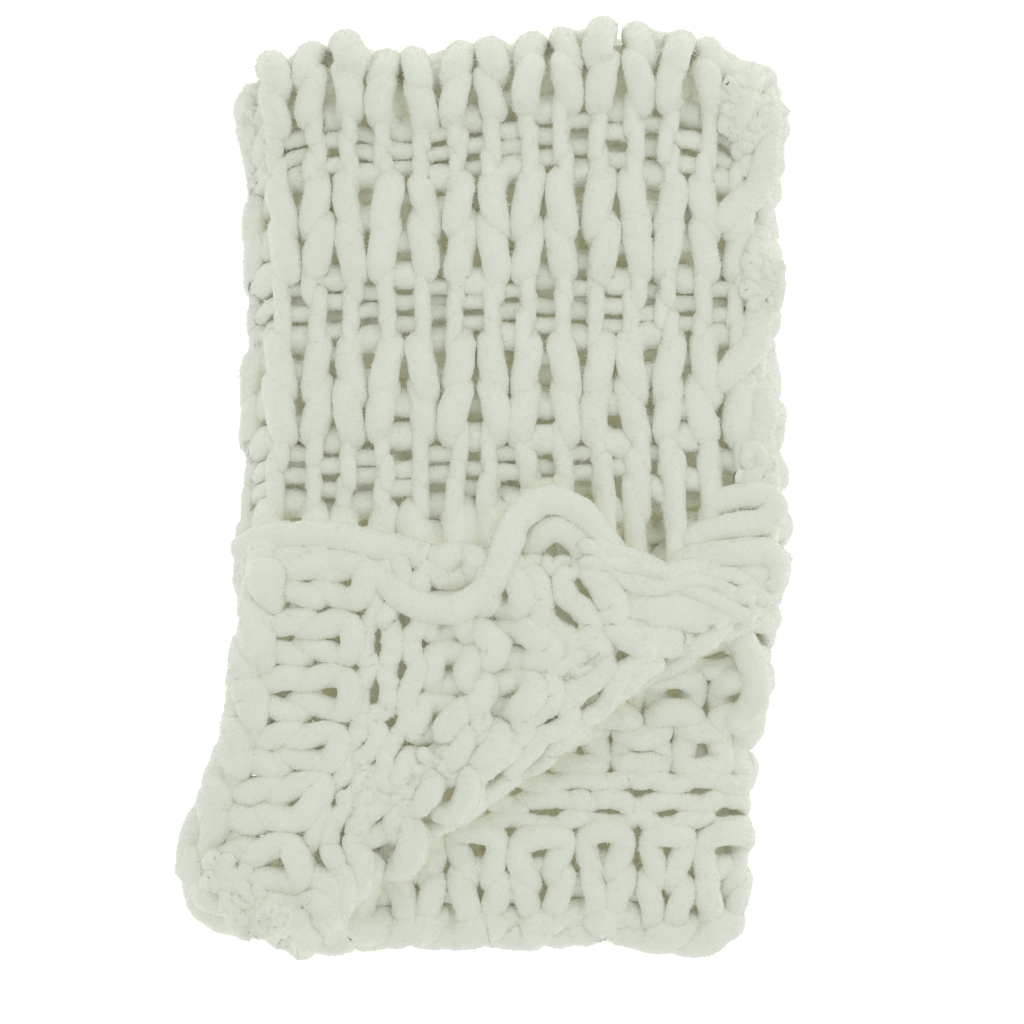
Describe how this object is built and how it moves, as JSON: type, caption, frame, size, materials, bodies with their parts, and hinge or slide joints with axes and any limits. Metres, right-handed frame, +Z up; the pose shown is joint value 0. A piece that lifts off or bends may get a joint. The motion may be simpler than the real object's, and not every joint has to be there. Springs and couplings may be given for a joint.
{
  "type": "folded chunky knit blanket",
  "caption": "Chunky hand-knitted throw in bands of thick and thin yarn, folded flat in layers with one corner of the top layer turned back.",
  "frame": {"origin": "on the flat underside, midway between the two long sides of the folded stack", "axes": "+X across the stack towards the top layer's free side, +Y along it towards the cross fold, +Z up"},
  "size_m": [0.4821, 0.7249, 0.178],
  "materials": {
    "yarn": "brushed off-white yarn"
  },
  "bodies": {
    "root": {"blanket": "yarn"}
  },
  "joints": []
}
